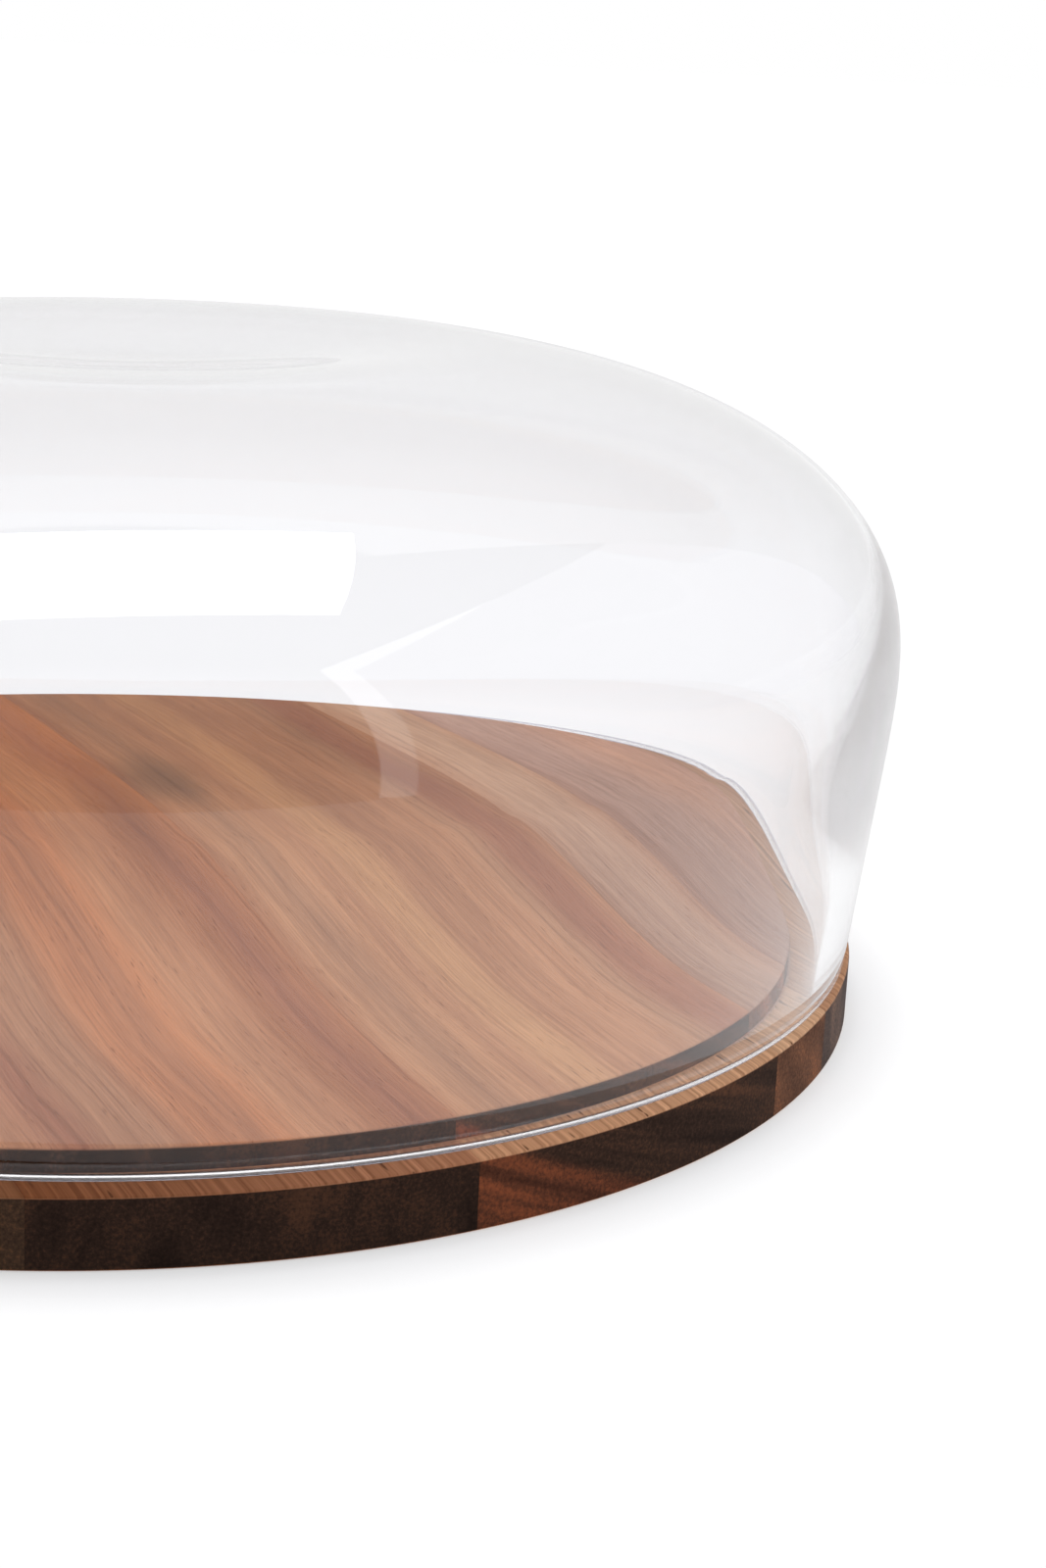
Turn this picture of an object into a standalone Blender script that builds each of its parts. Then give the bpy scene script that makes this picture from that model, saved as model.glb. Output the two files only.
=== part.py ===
"""Glass display dome on a round wooden board.

The board is a panel of edge-glued staves, turned to a disc with a rebate round its rim. The raised middle is the
deck, and the rebate is the ledge on which the mouth of the glass stands. The dome is one piece of blown glass that
lifts straight off. Metres, +Z up. The origin is the centre of the board's underside, and the grain runs along Y.
"""

import math

import bmesh
import bpy
from mathutils import Vector

# Board
BOARD_RADIUS = 0.150
LEDGE_HEIGHT = 0.0122
DECK_HEIGHT = 0.0161
DECK_RADIUS = 0.1383
EDGE_ROUND = 0.0006
BOARD_STEPS = 72

# Glue lines between the staves, as places along X from the left of the board to the right
GLUE_LINES = (-0.126, -0.056, 0.0144, 0.084, 0.1038)
PIECE_GAP = 0.0003

# Dome, with heights above the table. It stands a little off the middle of the board.
DOME_PLACE = (0.0033, 0.0018, 0.0)
MOUTH_RADIUS = 0.1474
BULGE_RADIUS = 0.1532
BULGE_HEIGHT = 0.0683
CROWN_HEIGHT = 0.1271
WALL_CURVE = 1.17
SHOULDER_POWER_R = 3.05
SHOULDER_POWER_Z = 2.36
DIMPLE_DEPTH = 0.0074
DIMPLE_RADIUS = 0.077
DIMPLE_CURVE = 2.0
MOUTH_THICKNESS = 0.0047
CROWN_THICKNESS = 0.0012
THINNING_START = 0.025
THINNING_END = 0.082
LIP_ROUND = 0.0012
WALL_POINTS = 6
SHOULDER_POINTS = 18
LIP_POINTS = 3
DOME_STEPS = 60

WOOD_SHADES = {
    "stave_1": (0.20, 0.09, 0.045),
    "stave_2": (0.25, 0.12, 0.055),
    "stave_3": (0.33, 0.14, 0.075),
    "stave_4": (0.36, 0.17, 0.085),
    "stave_5": (0.42, 0.24, 0.14),
    "stave_6": (0.30, 0.14, 0.085),
}
GLASS_COLOUR = (0.97, 0.97, 0.985)


def clear_scene():
    for item in list(bpy.data.objects):
        bpy.data.objects.remove(item, do_unlink=True)


def new_collection(name):
    collection = bpy.data.collections.new(name)
    bpy.context.scene.collection.children.link(collection)
    return collection


def wood_material(name, colour):
    material = bpy.data.materials.new(name + "_wood")
    material.use_nodes = True
    shader = material.node_tree.nodes["Principled BSDF"]
    shader.inputs["Base Color"].default_value = (*colour, 1.0)
    shader.inputs["Roughness"].default_value = 0.5
    shader.inputs["Metallic"].default_value = 0.0
    return material


def glass_material():
    material = bpy.data.materials.new("clear_glass")
    material.use_nodes = True
    shader = material.node_tree.nodes["Principled BSDF"]
    shader.inputs["Base Color"].default_value = (*GLASS_COLOUR, 1.0)
    shader.inputs["Roughness"].default_value = 0.02
    shader.inputs["Metallic"].default_value = 0.0
    shader.inputs["IOR"].default_value = 1.5
    shader.inputs["Transmission Weight"].default_value = 1.0
    return material


def turned_object(name, profile, steps, collection):
    """Turn a profile of (radius, height) points about the vertical line through the object's own origin."""
    mesh = bpy.data.meshes.new(name)
    outline = bmesh.new()
    points = [outline.verts.new((radius, 0.0, height)) for radius, height in profile]
    for first, second in zip(points, points[1:]):
        outline.edges.new((first, second))
    outline.to_mesh(mesh)
    outline.free()
    item = bpy.data.objects.new(name, mesh)
    collection.objects.link(item)
    screw = item.modifiers.new("turn", "SCREW")
    screw.axis = "Z"
    screw.steps = steps
    screw.render_steps = steps
    screw.use_merge_vertices = True
    screw.merge_threshold = 0.00001
    screw.use_smooth_shade = True
    return item


def arc(centre, radius, start_deg, end_deg, count):
    """Points on a quarter or half circle, from one angle to another, both ends included."""
    points = []
    for index in range(count):
        angle = math.radians(start_deg + (end_deg - start_deg) * index / (count - 1))
        points.append((centre[0] + radius * math.cos(angle), centre[1] + radius * math.sin(angle)))
    return points


def board_profile():
    """Outer side of the whole turned board, from the middle of the deck round to the middle of the underside."""
    e = EDGE_ROUND
    profile = [(0.0, DECK_HEIGHT)]
    profile += arc((DECK_RADIUS - e, DECK_HEIGHT - e), e, 90.0, 0.0, 3)
    profile += [(DECK_RADIUS, LEDGE_HEIGHT)]
    profile += arc((BOARD_RADIUS - e, LEDGE_HEIGHT - e), e, 90.0, 0.0, 3)
    profile += arc((BOARD_RADIUS - e, e), e, 0.0, -90.0, 3)
    profile += [(0.0, 0.0)]
    return profile


def stave_cutter(name, left, right, collection):
    """A slab that keeps the board between two glue lines."""
    margin = 0.01
    bpy.ops.mesh.primitive_cube_add(size=1.0)
    slab = bpy.context.object
    slab.name = name + "_slab"
    slab.dimensions = (right - left, 2.0 * (BOARD_RADIUS + margin), DECK_HEIGHT + 2.0 * margin)
    slab.location = ((left + right) / 2.0, 0.0, DECK_HEIGHT / 2.0)
    for owner in list(slab.users_collection):
        owner.objects.unlink(slab)
    collection.objects.link(slab)
    slab.hide_render = True
    slab.display_type = "WIRE"
    return slab


def build_staves(parts, cutters):
    """One stave between each pair of glue lines. Every stave is cut from the same turned board."""
    half_gap = PIECE_GAP / 2.0
    outside = BOARD_RADIUS + 0.005
    edges = (-outside - half_gap,) + GLUE_LINES + (outside + half_gap,)
    for number, (left, right) in enumerate(zip(edges, edges[1:]), start=1):
        name = "stave_%d" % number
        stave = turned_object(name, board_profile(), BOARD_STEPS, parts)
        slab = stave_cutter(name, left + half_gap, right - half_gap, cutters)
        cut = stave.modifiers.new("glue_faces", "BOOLEAN")
        cut.operation = "INTERSECT"
        cut.solver = "EXACT"
        cut.object = slab
        stave.data.materials.append(wood_material(name, WOOD_SHADES[name]))


def dimple(radius):
    """How far the finger dimple lowers the crown at a radius."""
    if radius >= DIMPLE_RADIUS:
        return 0.0
    return DIMPLE_DEPTH * (1.0 - (radius / DIMPLE_RADIUS) ** 2) ** DIMPLE_CURVE


def wall_thickness(distance):
    """Thickness of the glass at a distance along the wall from the mouth: thick at the foot, thin in the crown."""
    share = (distance - THINNING_START) / (THINNING_END - THINNING_START)
    share = min(1.0, max(0.0, share))
    return MOUTH_THICKNESS - (MOUTH_THICKNESS - CROWN_THICKNESS) * share * share * (3.0 - 2.0 * share)


def outer_curve():
    """Outer surface of the glass, from the middle of the dimple to just above the lip."""
    points = []
    for index in range(SHOULDER_POINTS):
        angle = math.pi / 2.0 * (1.0 - index / SHOULDER_POINTS)
        radius = BULGE_RADIUS * max(math.cos(angle), 0.0) ** (2.0 / SHOULDER_POWER_R)
        if index == 0:
            radius = 0.0
        rise = (CROWN_HEIGHT - BULGE_HEIGHT) * math.sin(angle) ** (2.0 / SHOULDER_POWER_Z)
        points.append((radius, BULGE_HEIGHT + rise - dimple(radius)))
    lip_height = LEDGE_HEIGHT + PIECE_GAP + LIP_ROUND
    for index in range(WALL_POINTS + 1):
        fall = index / WALL_POINTS
        radius = BULGE_RADIUS - (BULGE_RADIUS - MOUTH_RADIUS) * fall ** WALL_CURVE
        points.append((radius, BULGE_HEIGHT - (BULGE_HEIGHT - lip_height) * fall))
    return points


def inner_curve(outer):
    """The outer curve moved inwards by the thickness of the glass, in the same order."""
    distances = [0.0]
    for above, below in zip(outer[-2::-1], outer[:0:-1]):
        distances.append(distances[-1] + math.dist(above, below))
    walls = [wall_thickness(distance) for distance in reversed(distances)]
    points = [(0.0, outer[0][1] - walls[0])]
    for before, here, after, wall in zip(outer, outer[1:], outer[2:], walls[1:]):
        along = Vector((after[0] - before[0], after[1] - before[1])).normalized()
        points.append((here[0] + wall * along.y, here[1] - wall * along.x))
    points.append((outer[-1][0] - walls[-1], outer[-1][1]))
    return points


def build_dome(parts):
    """The blown glass: outer curve down to the mouth, a flat lip with round edges, and the inner curve back up."""
    outer = outer_curve()
    radius, height = outer[-1]
    lip = arc((radius - LIP_ROUND, height), LIP_ROUND, 0.0, -90.0, LIP_POINTS)
    lip += arc((radius - MOUTH_THICKNESS + LIP_ROUND, height), LIP_ROUND, -90.0, -180.0, LIP_POINTS)
    profile = outer + lip[1:-1] + inner_curve(outer)[::-1]
    dome = turned_object("dome", profile, DOME_STEPS, parts)
    dome.location = DOME_PLACE
    dome.data.materials.append(glass_material())


def main():
    clear_scene()
    parts = new_collection("display_dome")
    cutters = new_collection("cutters")
    build_staves(parts, cutters)
    build_dome(parts)


main()
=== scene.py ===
"""Looks of the glass display dome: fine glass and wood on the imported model, a studio, and the camera."""

import math

import bmesh
import bpy
import numpy as np
from mathutils import Matrix, Vector


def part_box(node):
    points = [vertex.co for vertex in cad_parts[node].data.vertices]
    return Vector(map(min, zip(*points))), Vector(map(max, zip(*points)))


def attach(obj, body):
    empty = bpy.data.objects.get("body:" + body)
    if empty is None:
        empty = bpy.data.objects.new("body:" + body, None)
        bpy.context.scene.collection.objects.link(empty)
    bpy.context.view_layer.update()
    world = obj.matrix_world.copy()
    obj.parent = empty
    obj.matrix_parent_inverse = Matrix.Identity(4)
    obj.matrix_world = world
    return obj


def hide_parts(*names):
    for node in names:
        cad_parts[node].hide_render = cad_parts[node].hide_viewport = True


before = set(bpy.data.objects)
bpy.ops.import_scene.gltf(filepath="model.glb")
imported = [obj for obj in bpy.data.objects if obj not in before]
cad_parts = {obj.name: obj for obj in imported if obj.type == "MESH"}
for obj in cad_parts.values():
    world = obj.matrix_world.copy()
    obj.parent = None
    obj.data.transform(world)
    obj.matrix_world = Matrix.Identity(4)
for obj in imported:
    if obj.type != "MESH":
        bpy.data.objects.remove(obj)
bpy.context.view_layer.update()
MM = 0.001

# Sizes that the frame gives, in metres
DOME_LOW, DOME_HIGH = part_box("dome")
STAVES = sorted(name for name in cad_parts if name.startswith("stave_"))
STAVE_BOXES = {name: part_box(name) for name in STAVES}
BOARD_RADIUS = -STAVE_BOXES[STAVES[0]][0].x
DECK_HEIGHT = max(high.z for low, high in STAVE_BOXES.values())
DOME_CENTRE = (DOME_LOW + DOME_HIGH) / 2.0 * Vector((1.0, 1.0, 0.0))
BULGE_RADIUS = (DOME_HIGH.x - DOME_LOW.x) / 2.0

# Board details, as part.py has them
LEDGE_HEIGHT = 12.2 * MM
DECK_RADIUS = 138.3 * MM
EDGE_ROUND = 0.6 * MM
GLUE_GAP = 0.02 * MM
BOARD_STEPS = 240
SHARP_ANGLE = 35.0

# Glass profile, as part.py has it, but the taper of the wall and its change of thickness set in more
# softly, and the corners of the lip are crisper
LIP_HEIGHT = LEDGE_HEIGHT + GLUE_GAP
MOUTH_RADIUS = 147.4 * MM
BULGE_HEIGHT = 68.3 * MM
CROWN_HEIGHT = 127.1 * MM
WALL_ONSET = 0.12
SHOULDER_POWER_R = 3.05
SHOULDER_POWER_Z = 2.36
DIMPLE_DEPTH = 7.4 * MM
DIMPLE_RADIUS = 77.0 * MM
DIMPLE_CURVE = 2.0
MOUTH_THICKNESS = 4.7 * MM
CROWN_THICKNESS = 1.2 * MM
THINNING_START = 18.0 * MM
THINNING_END = 89.0 * MM
LIP_ROUND = 0.5 * MM
DOME_STEPS = 480
SHOULDER_RINGS = 120
RING_SPREAD = 1.15
WALL_RINGS = 60
LIP_RINGS = 9

# Camera: where it stands round the board's foot, and how it is turned from there
CAMERA_AZIMUTH = -17.3
CAMERA_ELEVATION = 19.05
CAMERA_DISTANCE = 555.0 * MM
CAMERA_TURN_RIGHT = 9.115
CAMERA_TILT_DOWN = 15.345
CAMERA_ROLL = 2.831
CAMERA_LENS = 61.45
CAMERA_SENSOR = 36.0
CAMERA_NEAR = 0.01

# Light runs a long way round inside the wall of the glass, so it needs many bounces
LIGHT_BOUNCES = 48


# ---------------------------------------------------------------- small helpers

def link(item):
    bpy.context.scene.collection.objects.link(item)
    return item


def direction(azimuth, elevation):
    """Unit vector from the board, by angles in degrees. Azimuth 0 is the -Y side and 90 the +X side."""
    a, e = math.radians(azimuth), math.radians(elevation)
    return Vector((math.sin(a) * math.cos(e), -math.cos(a) * math.cos(e), math.sin(e)))


def arc(centre, radius, start_deg, end_deg, count):
    """Points (radius, height) on part of a circle, both ends included."""
    points = []
    for index in range(count):
        angle = math.radians(start_deg + (end_deg - start_deg) * index / (count - 1))
        points.append((centre[0] + radius * math.cos(angle), centre[1] + radius * math.sin(angle)))
    return points


def ring_mesh(name, rings, steps, warp=None):
    """A closed mesh from rings (radius, height) of points. The first and last ring are on the axis."""
    angles = np.linspace(0.0, 2.0 * math.pi, steps, endpoint=False)
    verts, faces = [(0.0, 0.0, rings[0][1])], []
    for radius, height in rings[1:-1]:
        for angle in angles:
            verts.append((radius * math.cos(angle), radius * math.sin(angle), height))
    verts.append((0.0, 0.0, rings[-1][1]))
    last, count = len(verts) - 1, len(rings) - 2
    for step in range(steps):
        after = (step + 1) % steps
        faces.append((0, 1 + step, 1 + after))
        for ring in range(count - 1):
            a, b = 1 + ring * steps, 1 + (ring + 1) * steps
            faces.append((a + step, b + step, b + after, a + after))
        end = 1 + (count - 1) * steps
        faces.append((last, end + after, end + step))
    if warp is not None:
        verts = [warp(Vector(vert)) for vert in verts]
    mesh = bpy.data.meshes.new(name)
    mesh.from_pydata(verts, [], faces)
    mesh.validate()
    mesh.update()
    for polygon in mesh.polygons:
        polygon.use_smooth = True
    return link(bpy.data.objects.new(name, mesh))


# ---------------------------------------------------------------- node helpers

class Nodes:
    """Short calls for building a node tree."""

    def __init__(self, tree):
        self.tree = tree
        self.tree.nodes.clear()

    def add(self, kind, **settings):
        node = self.tree.nodes.new(kind)
        for key, value in settings.items():
            setattr(node, key, value)
        return node

    def join(self, source, target):
        self.tree.links.new(source, target)

    def put(self, socket, value):
        """Connects a socket, or sets a plain value."""
        if isinstance(value, bpy.types.NodeSocket):
            self.join(value, socket)
        else:
            socket.default_value = value

    def math(self, operation, first, second=0.0):
        node = self.add("ShaderNodeMath", operation=operation)
        self.put(node.inputs[0], first)
        self.put(node.inputs[1], second)
        return node.outputs[0]

    def plus(self, first, second):
        return self.math("ADD", first, second)

    def minus(self, first, second):
        return self.math("SUBTRACT", first, second)

    def times(self, first, second):
        return self.math("MULTIPLY", first, second)

    def over(self, first, second):
        return self.math("DIVIDE", first, second)

    def invert(self, value):
        return self.math("SUBTRACT", 1.0, value)

    def length(self, first, second):
        """Length of the diagonal of two sides."""
        return self.math("SQRT", self.plus(self.times(first, first), self.times(second, second)))

    def step(self, value, low, high):
        """0 below low, 1 above high, and smooth between them."""
        node = self.add("ShaderNodeMapRange", interpolation_type="SMOOTHSTEP")
        self.put(node.inputs["Value"], value)
        node.inputs["From Min"].default_value = low
        node.inputs["From Max"].default_value = high
        return node.outputs[0]

    def scaled(self, vector, factors):
        node = self.add("ShaderNodeVectorMath", operation="MULTIPLY")
        self.put(node.inputs[0], vector)
        node.inputs[1].default_value = factors
        return node.outputs[0]

    def shifted(self, vector, offset):
        node = self.add("ShaderNodeVectorMath", operation="ADD")
        self.put(node.inputs[0], vector)
        self.put(node.inputs[1], offset)
        return node.outputs[0]

    def combine(self, x, y, z):
        node = self.add("ShaderNodeCombineXYZ")
        for socket, value in zip(node.inputs, (x, y, z)):
            self.put(socket, value)
        return node.outputs[0]

    def split(self, vector):
        node = self.add("ShaderNodeSeparateXYZ")
        self.join(vector, node.inputs[0])
        return node.outputs

    def noise(self, vector, scale, detail, roughness):
        node = self.add("ShaderNodeTexNoise")
        self.put(node.inputs["Vector"], vector)
        node.inputs["Scale"].default_value = scale
        node.inputs["Detail"].default_value = detail
        node.inputs["Roughness"].default_value = roughness
        return node.outputs["Fac"]

    def line_noise(self, value, scale, detail, roughness):
        node = self.add("ShaderNodeTexNoise", noise_dimensions="1D")
        self.put(node.inputs["W"], value)
        node.inputs["Scale"].default_value = scale
        node.inputs["Detail"].default_value = detail
        node.inputs["Roughness"].default_value = roughness
        return node.outputs["Fac"]

    def cells(self, vector, scale):
        node = self.add("ShaderNodeTexVoronoi")
        self.put(node.inputs["Vector"], vector)
        node.inputs["Scale"].default_value = scale
        return node.outputs["Distance"]

    def ramp(self, value, stops):
        node = self.add("ShaderNodeValToRGB")
        self.put(node.inputs[0], value)
        elements = node.color_ramp.elements
        while len(elements) < len(stops):
            elements.new(0.5)
        for element, (place, colour) in zip(elements, stops):
            element.position = place
            element.color = (*colour, 1.0)
        return node.outputs[0]

    def mix(self, factor, first, second, blend="MIX"):
        node = self.add("ShaderNodeMix", data_type="RGBA", blend_type=blend)
        self.put(node.inputs[0], factor)
        for socket, value in zip((node.inputs[6], node.inputs[7]), (first, second)):
            if not isinstance(value, bpy.types.NodeSocket):
                value = (*value, 1.0)
            self.put(socket, value)
        return node.outputs[2]

    def shaded(self, colour, shade, factor=1.0):
        """The colour multiplied by a shade, as far as the factor says."""
        full = self.mix(1.0, colour, shade, "MULTIPLY")
        return full if factor == 1.0 else self.mix(factor, colour, full)


# ---------------------------------------------------------------- wood

# Wood colours, from pale to dark
PALE = (0.56, 0.33, 0.22)
GOLD = (0.54, 0.30, 0.18)
TAN = (0.50, 0.265, 0.165)
ORANGE = (0.51, 0.235, 0.13)
ROSE = (0.47, 0.245, 0.155)
OLIVE = (0.43, 0.235, 0.155)
BROWN = (0.42, 0.20, 0.12)
PLUM = (0.37, 0.17, 0.115)

# How the staves differ.
# bands: the broad colours across a stave, at places in mm from its left glue line
# lean:  how far the growth rings shift sideways for each mm down
# cast:  a shade over the whole stave, and back: a painted shade that sets in towards its far end, standing
# in for the weaker light there
# end:   the colour of the cut ends of the fibres; on stave_6 it is partly painted reflection
# ledge: the colour of the routed ledge at the stave's left and right, partly the stave's own colour and
# partly painted shade that darkens the staves on the left, where less light falls
# patch: a dark cloud: its place in mm across from the left glue line and along the grain, its two half
#        widths, and its strength
# wedge: slope and height in mm of the line below which the upright faces are lighter
STAVE_LOOKS = {
    "stave_1": dict(
        bands=((0.0, ORANGE), (10.0, BROWN), (24.0, ROSE)),
        lean=0.8, seed=3.1, cast=(1.11, 0.99, 0.84), back=(0.87, 0.69, 0.45),
        end=(0.056, 0.031, 0.020),
        ledge=((0.20, 0.09, 0.045), (0.24, 0.11, 0.055))),
    "stave_2": dict(
        bands=((0.0, BROWN), (14.0, ORANGE), (30.0, TAN), (38.0, ROSE), (52.0, BROWN),
               (60.0, OLIVE), (70.0, ROSE)),
        lean=-1.2, seed=17.7, cast=(1.11, 0.99, 0.84), back=(0.87, 0.69, 0.45),
        end=(0.062, 0.034, 0.021),
        ledge=((0.22, 0.10, 0.05), (0.19, 0.075, 0.032))),
    "stave_3": dict(
        bands=((0.0, ROSE), (8.0, PLUM), (14.0, OLIVE), (21.0, OLIVE), (28.0, ORANGE), (36.0, BROWN),
               (40.0, ORANGE), (46.0, TAN), (52.0, ROSE), (58.0, BROWN), (63.0, PLUM), (70.0, BROWN)),
        lean=1.1, seed=29.3, cast=(1.11, 0.99, 0.84), back=(0.87, 0.69, 0.45),
        end=(0.034, 0.018, 0.0125),
        ledge=((0.17, 0.058, 0.022), (0.35, 0.155, 0.08)), patch=(64.0, 20.0, 9.0, 34.0, 0.45)),
    "stave_4": dict(
        bands=((0.0, BROWN), (4.0, TAN), (10.0, OLIVE), (16.0, TAN), (21.0, ROSE), (27.0, GOLD),
               (31.0, GOLD), (36.0, ROSE), (50.0, ROSE), (55.0, OLIVE), (60.0, PLUM), (65.0, PLUM),
               (69.6, ROSE)),
        lean=-1.5, seed=41.9, cast=(1.18, 1.13, 1.00), back=(0.69, 0.58, 0.46),
        end=(0.046, 0.024, 0.016),
        wedge=(0.43, -1.0),
        ledge=((0.46, 0.23, 0.12), (0.52, 0.29, 0.16)), patch=(8.0, 36.0, 9.0, 20.0, 0.8)),
    "stave_5": dict(
        bands=((0.0, TAN), (6.0, PALE), (15.0, PALE), (19.8, TAN)),
        lean=0.5, seed=53.3, cast=(0.91, 0.93, 0.98), back=(1.12, 1.06, 0.90),
        end=(0.160, 0.070, 0.038),
        ledge=((0.56, 0.33, 0.19), (0.56, 0.33, 0.19))),
    "stave_6": dict(
        bands=((0.0, BROWN), (5.0, ROSE), (14.0, ROSE), (26.0, ORANGE), (46.0, BROWN)),
        lean=1.0, seed=67.1, cast=(0.98, 1.13, 1.32), back=(1.04, 1.00, 0.97),
        # Partly the stave's own paler wood, partly a painted reflection of the white surroundings, which
        # lightens and greys its sides
        end=(0.120, 0.080, 0.065),
        ledge=((0.42, 0.22, 0.12), (0.42, 0.22, 0.12))),
}

# Patterns in the wood: changes for each mm across and along the grain, detail, roughness
WANDER = (0.010, 0.0075, 1.0, 0.4)
RIPPLE = (0.035, 0.018, 2.0, 0.5)
WANDER_WIDTH = 13.0
RIPPLE_WIDTH = 6.0
CLOUD = (0.045, 0.011, 2.0, 0.5)
FIBRE = (3.2, 0.055, 3.0, 0.7)
SPECKLE = (1.6, 1.6, 2.0, 0.7)
END_ARCS = (0.10, 0.04, 0.01)
END_SPAN = (0.3, 0.7)
LINE_GATE = (0.07, 0.012, 1.0, 0.5)
LINE_GATE_SPAN = (0.44, 0.60)
PORE_GATE = (0.4, 0.03, 1.0, 0.5)
PORE_GATE_SPAN = (0.40, 0.60)

# Growth rings: changes for each mm, detail, roughness
NARROW_RINGS = (0.30, 4.0, 0.68)
DARK_LINES = (0.75, 2.0, 0.6)
DARK_LINE_EDGE = (0.58, 0.70)
STREAKS = (0.9, 3.0, 0.7)

# Long open cells: changes for each mm across and along the grain
PORES = (1.5, 0.13)
SLOTS = (0.62, 0.075)
CELL_EDGE = (0.10, 0.22)

# Weights of the rings, the clouds and the fibres in the tone of the deck, and the span of their sum
TONE_WEIGHTS = (0.32, 0.50, 0.70)
TONE_SPAN = (0.52, 1.00)
TONE_SHADES = ((0.0, (0.78, 0.74, 0.74)), (0.5, (1.0, 1.0, 1.0)), (1.0, (1.20, 1.23, 1.24)))
END_SHADES = ((0.0, (0.45, 0.46, 0.50)), (0.5, (1.0, 1.0, 1.0)), (1.0, (2.35, 1.95, 1.55)))
STREAK_SHADES = ((0.25, (0.62, 0.56, 0.52)), (0.75, (1.4, 1.45, 1.5)))
LINE_SHADE = (0.46, 0.36, 0.34)
LINE_STRENGTH = 0.28
PORE_SHADE = (0.42, 0.32, 0.28)
PORE_STRENGTH = 0.6
SLOT_COLOUR = (0.075, 0.028, 0.012)
SLOT_STRENGTH = 0.85
WEDGE_COLOUR = (2.3, 1.5, 1.2)
PATCH_SHADE = (0.52, 0.54, 0.56)
PATCH_EDGE = (0.2, 1.5)
# Where the painted shade towards the back of the deck sets in, in mm along the grain
PAINTED_BACK_SHADE_SPAN = (-90.0, 60.0)
# Painted light on the deck's upright step, as factors on its end-grain colour
PAINTED_STEP_LIGHT = (1.85, 1.70, 1.60)

# How level a face is where an upright one turns into a flat one, and where the deck's step ends
UPRIGHT_SPAN = (0.35, 0.8)
STEP_END = (DECK_RADIUS + 0.2 * MM, DECK_RADIUS + 0.6 * MM)

WOOD_ROUGHNESS = 0.52
WOOD_SPECULAR = 0.03
RELIEF_STRENGTH = 0.3
RELIEF_DEPTH = 0.08 * MM


def grain(n, strewn, pattern):
    across, along, detail, roughness = pattern
    return n.noise(n.scaled(strewn, (across, along, across)), 1.0, detail, roughness)


def open_cells(n, strewn, pattern):
    across, along = pattern
    return n.invert(n.step(n.cells(n.scaled(strewn, (across, along, across)), 1.0), *CELL_EDGE))


def deck_wood(n, look, ring, strewn, y, width):
    """The planed face: broad bands, with growth rings, clouds, fibres, dark lines and pores on them."""
    colour = n.ramp(n.over(ring, width), [(mm / width, shade) for mm, shade in look["bands"]])
    colour = n.shaded(colour, look["cast"])

    narrow = n.line_noise(n.plus(ring, look["seed"] * 3.0), *NARROW_RINGS)
    cloud = grain(n, strewn, CLOUD)
    fibre = grain(n, strewn, FIBRE)
    ring_weight, cloud_weight, fibre_weight = TONE_WEIGHTS
    tone = n.plus(n.times(narrow, ring_weight), n.times(cloud, cloud_weight))
    tone = n.plus(tone, n.times(fibre, fibre_weight))
    colour = n.shaded(colour, n.ramp(n.step(tone, *TONE_SPAN), TONE_SHADES))

    lines = n.step(n.line_noise(n.plus(ring, look["seed"] * 7.0), *DARK_LINES), *DARK_LINE_EDGE)
    lines = n.times(lines, n.step(grain(n, strewn, LINE_GATE), *LINE_GATE_SPAN))
    colour = n.shaded(colour, LINE_SHADE, n.times(lines, LINE_STRENGTH))

    pores = open_cells(n, strewn, PORES)
    pores = n.times(pores, n.step(grain(n, strewn, PORE_GATE), *PORE_GATE_SPAN))
    colour = n.shaded(colour, PORE_SHADE, n.times(pores, PORE_STRENGTH))

    # Painted shade: the staves change towards the back, most of them darker, standing in for the weaker
    # light there; some staves also have a dark cloud
    colour = n.shaded(colour, look["back"], n.step(y, *PAINTED_BACK_SHADE_SPAN))
    if "patch" in look:
        patch_x, patch_y, half_x, half_y, strength = look["patch"]
        off = n.length(n.over(n.minus(ring, patch_x), half_x), n.over(n.minus(y, patch_y), half_y))
        inside = n.invert(n.step(n.plus(off, n.minus(cloud, 0.5)), *PATCH_EDGE))
        colour = n.shaded(colour, PATCH_SHADE, n.times(inside, strength))
    return colour, fibre, pores


def end_wood(n, look, ring, strewn, here):
    """The upright faces: cut fibres soak up oil and are very dark, in soft slanted bands, speckled."""
    x, y, z = here
    arcs = n.noise(n.scaled(n.combine(n.plus(ring, z), z, y), END_ARCS), 1.0, 2.0, 0.55)
    grainy = n.plus(n.times(arcs, 0.6), n.times(grain(n, strewn, SPECKLE), 0.4))
    end = n.shaded(look["end"], n.ramp(n.step(grainy, *END_SPAN), END_SHADES))
    if "wedge" in look:
        slope, height = look["wedge"]
        below = n.step(n.minus(height, n.plus(z, n.times(x, slope))), -1.6, 1.6)
        end = n.shaded(end, WEDGE_COLOUR, below)
    return end


def ledge_wood_and_painted_shade(n, look, strewn, x, width):
    """The ledge, as the router left it: orange, with streaks and long open pores, and painted shade that
    makes it darker on the staves to the left.
    """
    slots = open_cells(n, strewn, SLOTS)
    streaks = n.ramp(n.line_noise(n.plus(x, look["seed"]), *STREAKS), STREAK_SHADES)
    # Painted shade: the ledge colours darken towards the left staves, standing in for less light there
    left, right = look["ledge"]
    routed = n.shaded(n.ramp(n.over(x, width), ((0.0, left), (1.0, right))), streaks)
    return n.mix(n.times(slots, SLOT_STRENGTH), routed, SLOT_COLOUR), slots


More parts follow.
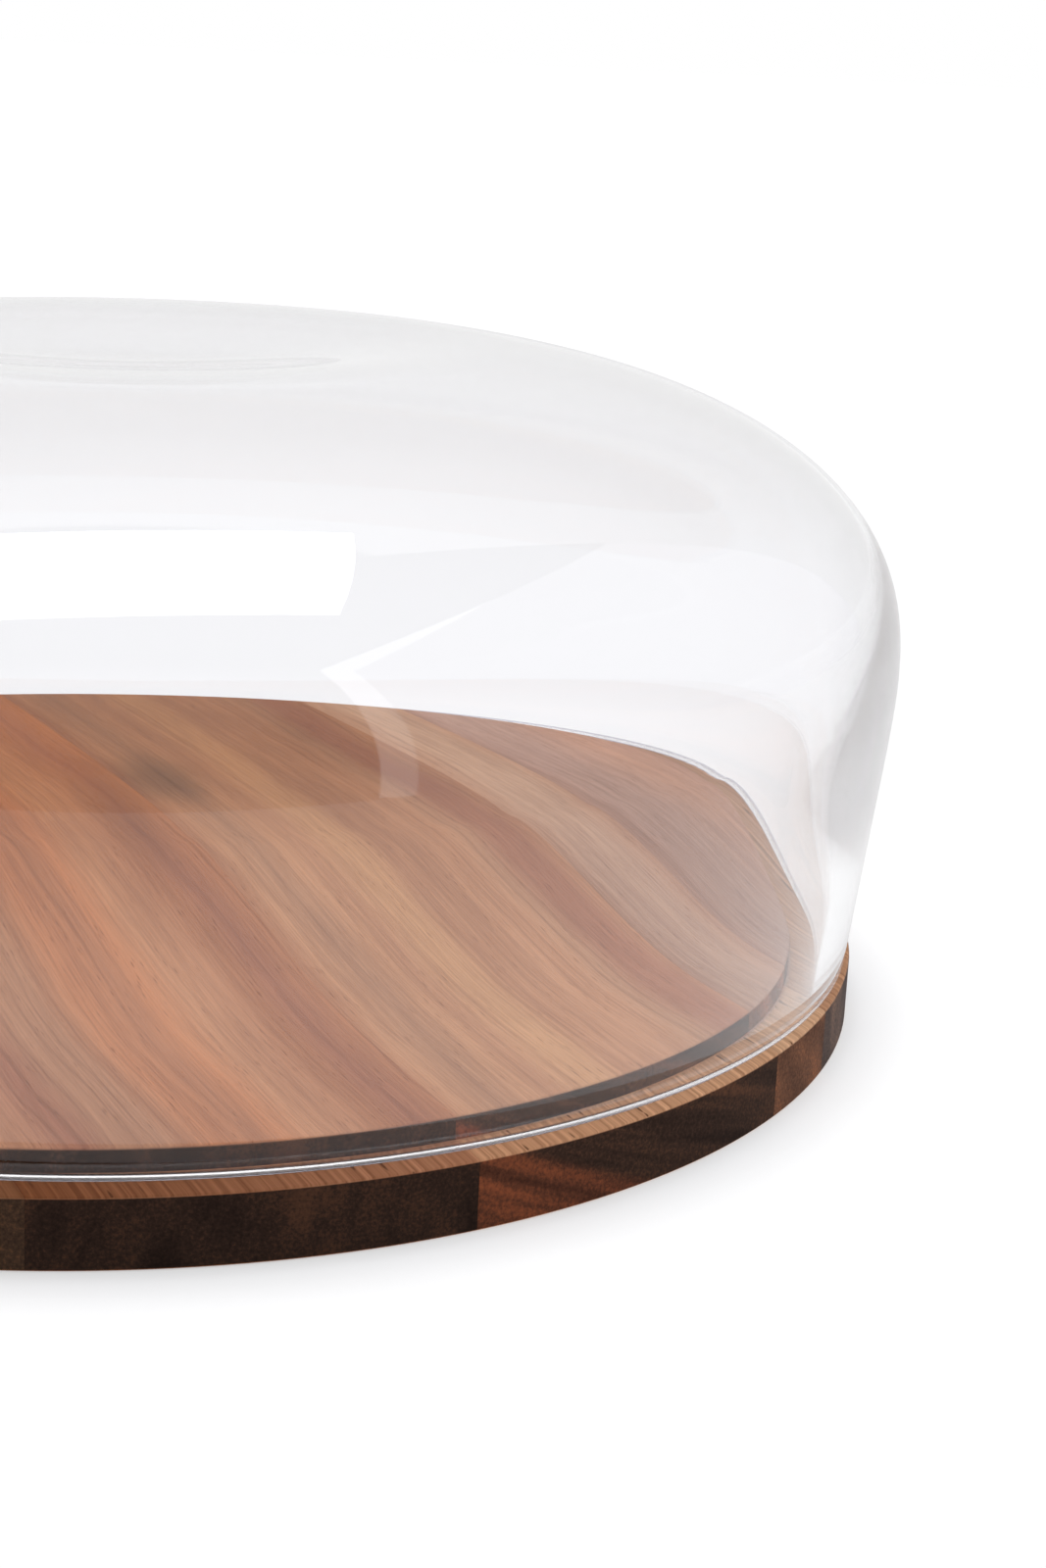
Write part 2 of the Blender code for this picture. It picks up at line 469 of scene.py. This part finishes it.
def wood_material(name, left, right):
    """Oiled acacia. All lengths in it are in mm, from the stave's left glue line and the deck."""
    look = STAVE_LOOKS[name]
    width = (right - left) / MM
    material = bpy.data.materials.new(name + "_acacia")
    material.use_nodes = True
    n = Nodes(material.node_tree)
    seed = look["seed"]
    place = n.add("ShaderNodeTexCoord").outputs["Object"]
    here = n.shifted(n.scaled(place, (1.0 / MM,) * 3), (-left / MM, 0.0, -DECK_HEIGHT / MM))
    x, y, z = n.split(here)
    strewn = n.shifted(here, (seed * 5.0, seed * 11.0, seed * 3.0))

    # Across the rings from the left glue line: they lean with depth and wander slowly along the grain
    wander = n.times(n.minus(grain(n, strewn, WANDER), 0.5), WANDER_WIDTH)
    ripple = n.times(n.minus(grain(n, strewn, RIPPLE), 0.5), RIPPLE_WIDTH)
    bend = n.plus(wander, ripple)
    ring = n.plus(n.minus(x, n.times(z, look["lean"])), bend)

    # Painted light: the deck's upright step is made lighter than the board's side
    colour, fibre, pores = deck_wood(n, look, ring, strewn, y, width)
    facing = n.split(n.add("ShaderNodeNewGeometry").outputs["Normal"])
    upright = n.invert(n.step(n.math("ABSOLUTE", facing[2]), *UPRIGHT_SPAN))
    radius = n.length(*n.split(place)[:2])
    outer = n.step(radius, *STEP_END)
    end = end_wood(n, look, ring, strewn, (x, y, z))
    # Painted light: the end grain on the deck's step is lightened
    end = n.mix(outer, n.shaded(end, PAINTED_STEP_LIGHT), end)
    colour = n.mix(upright, colour, end)
    on_ledge = n.times(outer, n.invert(upright))
    routed, slots = ledge_wood_and_painted_shade(n, look, strewn, x, width)
    colour = n.mix(on_ledge, colour, routed)

    shader = n.add("ShaderNodeBsdfPrincipled")
    n.join(colour, shader.inputs["Base Color"])
    rough = n.plus(WOOD_ROUGHNESS, n.times(fibre, 0.18))
    n.join(n.plus(rough, n.times(pores, 0.2)), shader.inputs["Roughness"])
    shader.inputs["Specular IOR Level"].default_value = WOOD_SPECULAR
    relief = n.minus(n.times(fibre, 0.35), pores)
    relief = n.minus(relief, n.times(n.times(slots, on_ledge), 1.5))
    bump = n.add("ShaderNodeBump")
    bump.inputs["Strength"].default_value = RELIEF_STRENGTH
    bump.inputs["Distance"].default_value = RELIEF_DEPTH
    n.join(relief, bump.inputs["Height"])
    n.join(bump.outputs[0], shader.inputs["Normal"])
    n.join(shader.outputs[0], n.add("ShaderNodeOutputMaterial").inputs["Surface"])
    return material


def board_rings():
    """The turned board, from the middle of the deck round its edges to the middle of the underside."""
    e = EDGE_ROUND
    rings = [(0.0, DECK_HEIGHT)]
    rings += arc((DECK_RADIUS - e, DECK_HEIGHT - e), e, 90.0, 0.0, 5)
    rings += [(DECK_RADIUS, LEDGE_HEIGHT)]
    rings += arc((BOARD_RADIUS - e, LEDGE_HEIGHT - e), e, 90.0, 0.0, 5)
    rings += arc((BOARD_RADIUS - e, e), e, 0.0, -90.0, 5)
    rings += [(0.0, 0.0)]
    return rings


def make_stave(name, left, right):
    """One stave, cut from the turned board between two glue faces."""
    stave = ring_mesh(name + "_wood", board_rings(), BOARD_STEPS)
    bm = bmesh.new()
    bm.from_mesh(stave.data)
    for place, outwards in ((left, -1.0), (right, 1.0)):
        if abs(place) < BOARD_RADIUS:
            cut = bmesh.ops.bisect_plane(
                bm, geom=bm.verts[:] + bm.edges[:] + bm.faces[:], dist=1e-7,
                plane_co=(place, 0.0, 0.0), plane_no=(outwards, 0.0, 0.0), clear_outer=True)
            rim = [part for part in cut["geom_cut"] if isinstance(part, bmesh.types.BMEdge)]
            bmesh.ops.edgeloop_fill(bm, edges=rim)
    bmesh.ops.recalc_face_normals(bm, faces=bm.faces[:])
    bm.to_mesh(stave.data)
    bm.free()
    stave.data.shade_smooth()
    stave.data.set_sharp_from_angle(angle=math.radians(SHARP_ANGLE))
    stave.data.materials.append(wood_material(name, left, right))
    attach(stave, "board")
    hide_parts(name)


def make_board():
    """All the staves, with the thin gap that the glue leaves between them."""
    lines = [(STAVE_BOXES[a][1].x + STAVE_BOXES[b][0].x) / 2.0 for a, b in zip(STAVES, STAVES[1:])]
    places = [-BOARD_RADIUS - GLUE_GAP] + lines + [BOARD_RADIUS + GLUE_GAP]
    for name, left, right in zip(STAVES, places, places[1:]):
        make_stave(name, left + GLUE_GAP / 2.0, right - GLUE_GAP / 2.0)


# ---------------------------------------------------------------- glass

GLASS_TINT = (0.967, 0.967, 0.977)
SHADOW_TINT = (0.93, 0.93, 0.94)
GLASS_INDEX = 1.5
WAVINESS = 0.09
WAVY_DEPTHS = (3.0, 7.0)
LIP_ROUGHNESS = 0.25
LIP_SOFTNESS = 0.1 * MM
# Painted shade on the lip: darkened and tinted lavender
LIP_PAINTED_SHADE = (0.35, 0.34, 0.41)
CROWN_TILT = 0.0088


def glass_material():
    """Clear glass. Shadows and diffuse light go straight through it, so that the board is evenly lit."""
    material = bpy.data.materials.new("clear_glass")
    material.use_nodes = True
    n = Nodes(material.node_tree)
    shader = n.add("ShaderNodeBsdfPrincipled")
    shader.inputs["Transmission Weight"].default_value = 1.0
    shader.inputs["IOR"].default_value = GLASS_INDEX
    clear = n.add("ShaderNodeBsdfTransparent")
    clear.inputs["Color"].default_value = (*SHADOW_TINT, 1.0)
    path = n.add("ShaderNodeLightPath")
    # The faint waviness of blown glass adds up only in light that has run a long way inside the wall
    wavy = n.times(n.step(path.outputs["Ray Depth"], *WAVY_DEPTHS), WAVINESS)
    height = n.split(n.add("ShaderNodeTexCoord").outputs["Object"])[2]
    lip_top = LIP_HEIGHT + LIP_ROUND
    on_lip = n.invert(n.step(height, lip_top - LIP_SOFTNESS, lip_top + LIP_SOFTNESS))
    # Painted shade: the lip is darkened and tinted lavender, which dims the bright line along the foot of
    # the glass
    n.join(n.mix(on_lip, GLASS_TINT, LIP_PAINTED_SHADE), shader.inputs["Base Color"])
    n.join(n.plus(wavy, n.times(on_lip, LIP_ROUGHNESS)), shader.inputs["Roughness"])
    straight = n.math("MAXIMUM", path.outputs["Is Shadow Ray"], path.outputs["Is Diffuse Ray"])
    blend = n.add("ShaderNodeMixShader")
    n.join(straight, blend.inputs[0])
    n.join(shader.outputs[0], blend.inputs[1])
    n.join(clear.outputs[0], blend.inputs[2])
    n.join(blend.outputs[0], n.add("ShaderNodeOutputMaterial").inputs["Surface"])
    return material


def dimple(radius):
    if radius >= DIMPLE_RADIUS:
        return 0.0
    return DIMPLE_DEPTH * (1.0 - (radius / DIMPLE_RADIUS) ** 2) ** DIMPLE_CURVE


def wall_thickness(distance):
    """Thickness of the wall at a distance along it from the mouth: thick there, thin in the crown."""
    share = (distance - THINNING_START) / (THINNING_END - THINNING_START)
    share = min(1.0, max(0.0, share))
    share = share ** 3 * (share * (share * 6.0 - 15.0) + 10.0)
    return MOUTH_THICKNESS - (MOUTH_THICKNESS - CROWN_THICKNESS) * share


def outer_curve(lip_height):
    """Outer surface of the glass, from the middle of the dimple to just above the lip."""
    points = []
    for index in range(SHOULDER_RINGS):
        angle = math.pi / 2.0 * (1.0 - (index / SHOULDER_RINGS) ** RING_SPREAD)
        radius = BULGE_RADIUS * max(math.cos(angle), 0.0) ** (2.0 / SHOULDER_POWER_R) if index else 0.0
        rise = (CROWN_HEIGHT - BULGE_HEIGHT) * math.sin(angle) ** (2.0 / SHOULDER_POWER_Z)
        points.append((radius, BULGE_HEIGHT + rise - dimple(radius)))
    for index in range(WALL_RINGS + 1):
        fall = index / WALL_RINGS
        taper = (math.hypot(fall, WALL_ONSET) - WALL_ONSET) / (math.hypot(1.0, WALL_ONSET) - WALL_ONSET)
        radius = BULGE_RADIUS - (BULGE_RADIUS - MOUTH_RADIUS) * taper
        points.append((radius, BULGE_HEIGHT - (BULGE_HEIGHT - lip_height) * fall))
    return points


def inner_curve(outer):
    """The outer curve moved inwards by the thickness of the wall."""
    distances = [0.0]
    for above, below in zip(outer[-2::-1], outer[:0:-1]):
        distances.append(distances[-1] + math.dist(above, below))
    walls = [wall_thickness(distance) for distance in reversed(distances)]
    points = [(0.0, outer[0][1] - walls[0])]
    for before, here, after, wall in zip(outer, outer[1:], outer[2:], walls[1:]):
        along = Vector((after[0] - before[0], after[1] - before[1])).normalized()
        points.append((here[0] + wall * along.y, here[1] - wall * along.x))
    points.append((outer[-1][0] - walls[-1], outer[-1][1]))
    return points


def hand_made(point):
    """Small faults of a blown shape: the crown leans a little to one side."""
    share = min(1.0, max(0.0, (point.z - LIP_HEIGHT) / (CROWN_HEIGHT - LIP_HEIGHT)))
    lean = direction(CAMERA_AZIMUTH + 90.0, 0.0)
    return Vector((point.x, point.y, point.z + CROWN_TILT * share * point.dot(lean)))


def make_dome():
    """One closed skin: outer curve down to the mouth, flat lip with round edges, inner curve back up."""
    outer = outer_curve(LIP_HEIGHT + LIP_ROUND)
    radius, height = outer[-1]
    lip = arc((radius - LIP_ROUND, height), LIP_ROUND, 0.0, -90.0, LIP_RINGS)
    lip += arc((radius - MOUTH_THICKNESS + LIP_ROUND, height), LIP_ROUND, -90.0, -180.0, LIP_RINGS)
    rings = outer + lip[1:-1] + inner_curve(outer)[::-1]
    dome = ring_mesh("dome_glass", rings, DOME_STEPS, hand_made)
    dome.location = DOME_CENTRE
    dome.data.materials.append(glass_material())
    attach(dome, "dome")
    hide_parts("dome")


# ---------------------------------------------------------------- studio

# The studio is laid out square to the camera's side of the board
SIDEWAYS = direction(CAMERA_AZIMUTH + 90.0, 0.0)
BACKWARDS = direction(CAMERA_AZIMUTH + 180.0, 0.0)
UPWARDS = Vector((0.0, 0.0, 1.0))
TABLE_FRONT = 0.56
TABLE_BACK = 30.0
TABLE_HALF_WIDTH = 15.0
TABLE_GLOW_IN_PAINTED_SHADOW = 0.47
# How much the glow of the table changes between two distances in metres from the middle of the board. The
# low glow out to just past the board's edge is a painted shadow round its foot, the drop from 0.19 to 0.26
# m is painted shade on the floor just behind it, and the rises further out keep the far floor white
TABLE_CHANGES = ((0.150, 0.168, 0.14), (0.190, 0.260, -0.06), (0.25, 2.5, 0.17), (2.5, 8.0, 0.29))
TABLE_SHADE = 0.46
TABLE_MIRROR_LOSS = 0.38


def make_floor():
    """A white light table. Its near edge lies under the camera."""
    corners = [
        SIDEWAYS * across + BACKWARDS * along
        for across, along in ((-TABLE_HALF_WIDTH, -TABLE_FRONT), (TABLE_HALF_WIDTH, -TABLE_FRONT),
                              (TABLE_HALF_WIDTH, TABLE_BACK), (-TABLE_HALF_WIDTH, TABLE_BACK))]
    mesh = bpy.data.meshes.new("floor")
    mesh.from_pydata(corners, [], [(0, 1, 2, 3)])
    floor = link(bpy.data.objects.new("floor", mesh))
    material = bpy.data.materials.new("light_table")
    material.use_nodes = True
    n = Nodes(material.node_tree)
    x, y = n.split(n.add("ShaderNodeTexCoord").outputs["Object"])[:2]
    distance = n.length(x, y)
    # Painted shadow: the glow is lowest round the board's foot
    glow = TABLE_GLOW_IN_PAINTED_SHADOW
    for start, end, change in TABLE_CHANGES:
        glow = n.plus(glow, n.times(n.step(distance, start, end), change))
    path = n.add("ShaderNodeLightPath")
    mirrored = n.times(path.outputs["Is Glossy Ray"], path.outputs["Is Reflection Ray"])
    glow = n.times(glow, n.invert(n.times(mirrored, TABLE_MIRROR_LOSS)))
    shader = n.add("ShaderNodeBsdfPrincipled")
    shader.inputs["Base Color"].default_value = (TABLE_SHADE, TABLE_SHADE, TABLE_SHADE, 1.0)
    shader.inputs["Roughness"].default_value = 1.0
    shader.inputs["Specular IOR Level"].default_value = 0.0
    shader.inputs["Emission Color"].default_value = (1.0, 1.0, 1.0, 1.0)
    n.join(glow, shader.inputs["Emission Strength"])
    n.join(shader.outputs[0], n.add("ShaderNodeOutputMaterial").inputs["Surface"])
    floor.data.materials.append(material)


# The backdrop: its edges in degrees, and their softness as a change of cosine and of sine
BACKDROP_HALF_WIDTH = 51.5
BACKDROP_TOP = 67.5
BACKDROP_SIDE_SOFTNESS = 0.005
BACKDROP_TOP_SOFTNESS = 0.006
# Its brightness at heights in degrees
BACKDROP_GLOW = ((0.0, 0.88), (10.0, 0.72), (19.0, 0.61), (35.0, 0.48), (50.0, 0.74), (60.0, 1.02),
                 (90.0, 1.1))
ROOM_GLOW = (0.16, 0.16, 0.167)

# The panel: its edges, and where its rim begins, as tangents of angles seen from the board
PANEL_AZIMUTH = CAMERA_AZIMUTH + 79.0
PANEL_SIDES = (-1.03, 1.17)
PANEL_HEIGHTS = (-0.2, 1.60)
PANEL_RIM_LEFT = -0.86
PANEL_RIM_TOP = 1.56
PANEL_RIM_SLOPE = 0.22
PANEL_SOFTNESS = 0.01
PANEL_GLOW = (0.80, 0.79, 0.84)
PANEL_RIM_GLOW = (2.0, 2.0, 2.05)

# Past every edge of the backdrop and the panel
BEYOND = 2.0


def make_world():
    """A white backdrop behind the board and a tall panel on the right, in an otherwise darker room.

    The panel's rim is brighter on the left and along the top, where its diffuser lets more light past.
    """
    world = bpy.data.worlds.new("studio")
    bpy.context.scene.world = world
    world.use_nodes = True
    n = Nodes(world.node_tree)
    x, y, z = n.split(n.add("ShaderNodeTexCoord").outputs["Generated"])

    def towards(way):
        return n.plus(n.times(x, way.x), n.times(y, way.y))

    def between(value, low, high, soft):
        inside = n.invert(n.step(value, high - soft, high + soft))
        return n.times(n.step(value, low - soft, low + soft), inside)

    behind = n.over(towards(BACKWARDS), n.math("MAXIMUM", n.length(x, y), 0.001))
    side, top = math.cos(math.radians(BACKDROP_HALF_WIDTH)), math.sin(math.radians(BACKDROP_TOP))
    backdrop = between(behind, side, BEYOND, BACKDROP_SIDE_SOFTNESS)
    backdrop = n.times(backdrop, between(z, -BEYOND, top, BACKDROP_TOP_SOFTNESS))
    glow = n.ramp(z, [(math.sin(math.radians(angle)), (level,) * 3) for angle, level in BACKDROP_GLOW])
    studio = n.mix(backdrop, ROOM_GLOW, glow)

    ahead = n.math("MAXIMUM", towards(direction(PANEL_AZIMUTH, 0.0)), 0.001)
    across = n.over(towards(direction(PANEL_AZIMUTH + 90.0, 0.0)), ahead)
    tall = n.over(z, ahead)
    whole = between(across, *PANEL_SIDES, PANEL_SOFTNESS)
    whole = n.times(whole, between(tall, *PANEL_HEIGHTS, PANEL_SOFTNESS))
    rim_top = n.plus(PANEL_RIM_TOP, n.times(across, PANEL_RIM_SLOPE))
    under_rim = n.step(n.minus(rim_top, tall), -PANEL_SOFTNESS, PANEL_SOFTNESS)
    inner = n.times(between(across, PANEL_RIM_LEFT, BEYOND, PANEL_SOFTNESS), under_rim)
    studio = n.mix(whole, studio, n.mix(inner, PANEL_RIM_GLOW, PANEL_GLOW))

    path = n.add("ShaderNodeLightPath")
    seen = n.math("MAXIMUM", path.outputs["Is Camera Ray"], path.outputs["Is Transmission Ray"])
    light = n.add("ShaderNodeBackground")
    n.join(n.mix(seen, studio, (1.0, 1.0, 1.0)), light.inputs["Color"])
    n.join(light.outputs[0], n.add("ShaderNodeOutputWorld").inputs["Surface"])


def softbox(name, middle, facing, up, width, height, radiance):
    """A soft light of even brightness, which the camera sees only in reflections."""
    data = bpy.data.lights.new(name, "AREA")
    data.shape = "RECTANGLE"
    data.size = width
    data.size_y = height
    data.energy = radiance * math.pi * width * height
    lamp = link(bpy.data.objects.new(name, data))
    back = -facing.normalized()
    across = up.cross(back).normalized()
    upright = back.cross(across)
    turn = Matrix((across, upright, back)).transposed()
    lamp.matrix_world = Matrix.Translation(middle) @ turn.to_4x4()
    lamp.visible_camera = False
    lamp.visible_transmission = False


OVERHEAD_HEIGHT = 4.8
OVERHEAD_EDGES = (-0.33, 0.33, -0.27, 0.35)
OVERHEAD_TURN = 188.0
OVERHEAD_RADIANCE = 5.5


def make_lights():
    """One large softbox overhead. Its edges are given for each metre that it hangs above the glass."""
    height = OVERHEAD_HEIGHT
    left, right, front, back = OVERHEAD_EDGES
    middle = Vector((0.0, 0.0, CROWN_HEIGHT + height))
    middle += SIDEWAYS * height * (left + right) / 2.0 + BACKWARDS * height * (front + back) / 2.0
    turned = direction(CAMERA_AZIMUTH + OVERHEAD_TURN, 0.0)
    width, depth = height * (right - left), height * (back - front)
    softbox("overhead", middle, -UPWARDS, turned, width, depth, OVERHEAD_RADIANCE)


def make_camera():
    place = direction(CAMERA_AZIMUTH, CAMERA_ELEVATION) * CAMERA_DISTANCE
    turn = CAMERA_AZIMUTH + 180.0 - CAMERA_TURN_RIGHT
    ahead = direction(turn, -CAMERA_TILT_DOWN)
    right = ahead.cross(UPWARDS).normalized()
    up = right.cross(ahead)
    roll = math.radians(CAMERA_ROLL)
    rolled_right = right * math.cos(roll) + up * math.sin(roll)
    rolled_up = up * math.cos(roll) - right * math.sin(roll)
    camera = link(bpy.data.objects.new("camera", bpy.data.cameras.new("camera")))
    camera.data.lens = CAMERA_LENS
    camera.data.sensor_width = CAMERA_SENSOR
    camera.data.clip_start = CAMERA_NEAR
    camera.matrix_world = Matrix((
        (rolled_right.x, rolled_up.x, -ahead.x, place.x),
        (rolled_right.y, rolled_up.y, -ahead.y, place.y),
        (rolled_right.z, rolled_up.z, -ahead.z, place.z),
        (0.0, 0.0, 0.0, 1.0)))
    bpy.context.scene.camera = camera
    bpy.context.scene.view_settings.view_transform = "Standard"
    cycles = bpy.context.scene.cycles
    cycles.glossy_bounces = LIGHT_BOUNCES
    cycles.transmission_bounces = LIGHT_BOUNCES
    cycles.max_bounces = LIGHT_BOUNCES


make_camera()
make_world()
make_lights()
make_floor()
make_board()
make_dome()
